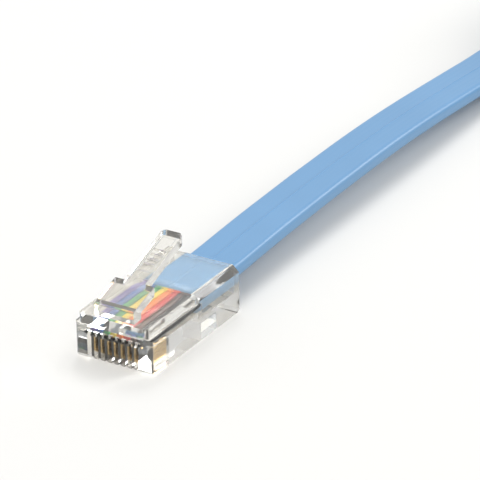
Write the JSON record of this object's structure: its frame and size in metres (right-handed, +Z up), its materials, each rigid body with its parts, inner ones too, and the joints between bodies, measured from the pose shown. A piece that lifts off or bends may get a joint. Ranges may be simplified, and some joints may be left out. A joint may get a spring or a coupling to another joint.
{
  "type": "rj45 console cable",
  "caption": "Flat rollover console cable with a clear modular plug on each end, its spare length folded into a tied hank.",
  "frame": {"origin": "under the middle of the near plug's body, on the surface that it lies on", "axes": "+X from the near plug's nose back along the cable, +Y across the plug, +Z up, away from the contact side"},
  "size_m": [0.3007, 0.0489, 0.0184],
  "materials": {
    "clear_shell": "clear moulded polycarbonate",
    "gold_contact": "gold-plated, satin",
    "flat_jacket": "light blue satin vinyl",
    "hook_loop_strap": "black woven hook-and-loop strap",
    "wire_violet": "satin insulation",
    "wire_blue": "satin insulation",
    "wire_green": "satin insulation",
    "wire_yellow": "satin insulation",
    "wire_orange": "satin insulation",
    "wire_red": "satin insulation",
    "wire_brown": "satin insulation",
    "wire_black": "satin insulation"
  },
  "bodies": {
    "cable": {"near_shell": "clear_shell", "near_contact_1": "gold_contact", "near_wire_1": "wire_violet", "near_contact_2": "gold_contact", "near_wire_2": "wire_blue", "near_contact_3": "gold_contact", "near_wire_3": "wire_green", "near_contact_4": "gold_contact", "near_wire_4": "wire_yellow", "near_contact_5": "gold_contact", "near_wire_5": "wire_orange", "near_contact_6": "gold_contact", "near_wire_6": "wire_red", "near_contact_7": "gold_contact", "near_wire_7": "wire_brown", "near_contact_8": "gold_contact", "near_wire_8": "wire_black", "far_shell": "clear_shell", "far_contact_1": "gold_contact", "far_wire_1": "wire_black", "far_contact_2": "gold_contact", "far_wire_2": "wire_brown", "far_contact_3": "gold_contact", "far_wire_3": "wire_red", "far_contact_4": "gold_contact", "far_wire_4": "wire_orange", "far_contact_5": "gold_contact", "far_wire_5": "wire_yellow", "far_contact_6": "gold_contact", "far_wire_6": "wire_green", "far_contact_7": "gold_contact", "far_wire_7": "wire_blue", "far_contact_8": "gold_contact", "far_wire_8": "wire_violet", "cable_lead": "flat_jacket", "cable_tail": "flat_jacket", "hank": "flat_jacket", "tie": "hook_loop_strap"},
    "near_latch_body": {"near_latch": "clear_shell"},
    "far_latch_body": {"far_latch": "clear_shell"}
  },
  "joints": [
    {"name": "near_latch_press", "type": "hinge", "parent": "cable", "child": "near_latch_body", "pos_m": [-0.00828, 0, 0.00754], "axis": [0, 1, 0], "range_deg": [0, 16], "stiffness_Nm_per_rad": 0.05},
    {"name": "far_latch_press", "type": "hinge", "parent": "cable", "child": "far_latch_body", "pos_m": [0.28751, 0, 0.00754], "axis": [0, -1, 0], "range_deg": [0, 16], "stiffness_Nm_per_rad": 0.05}
  ]
}
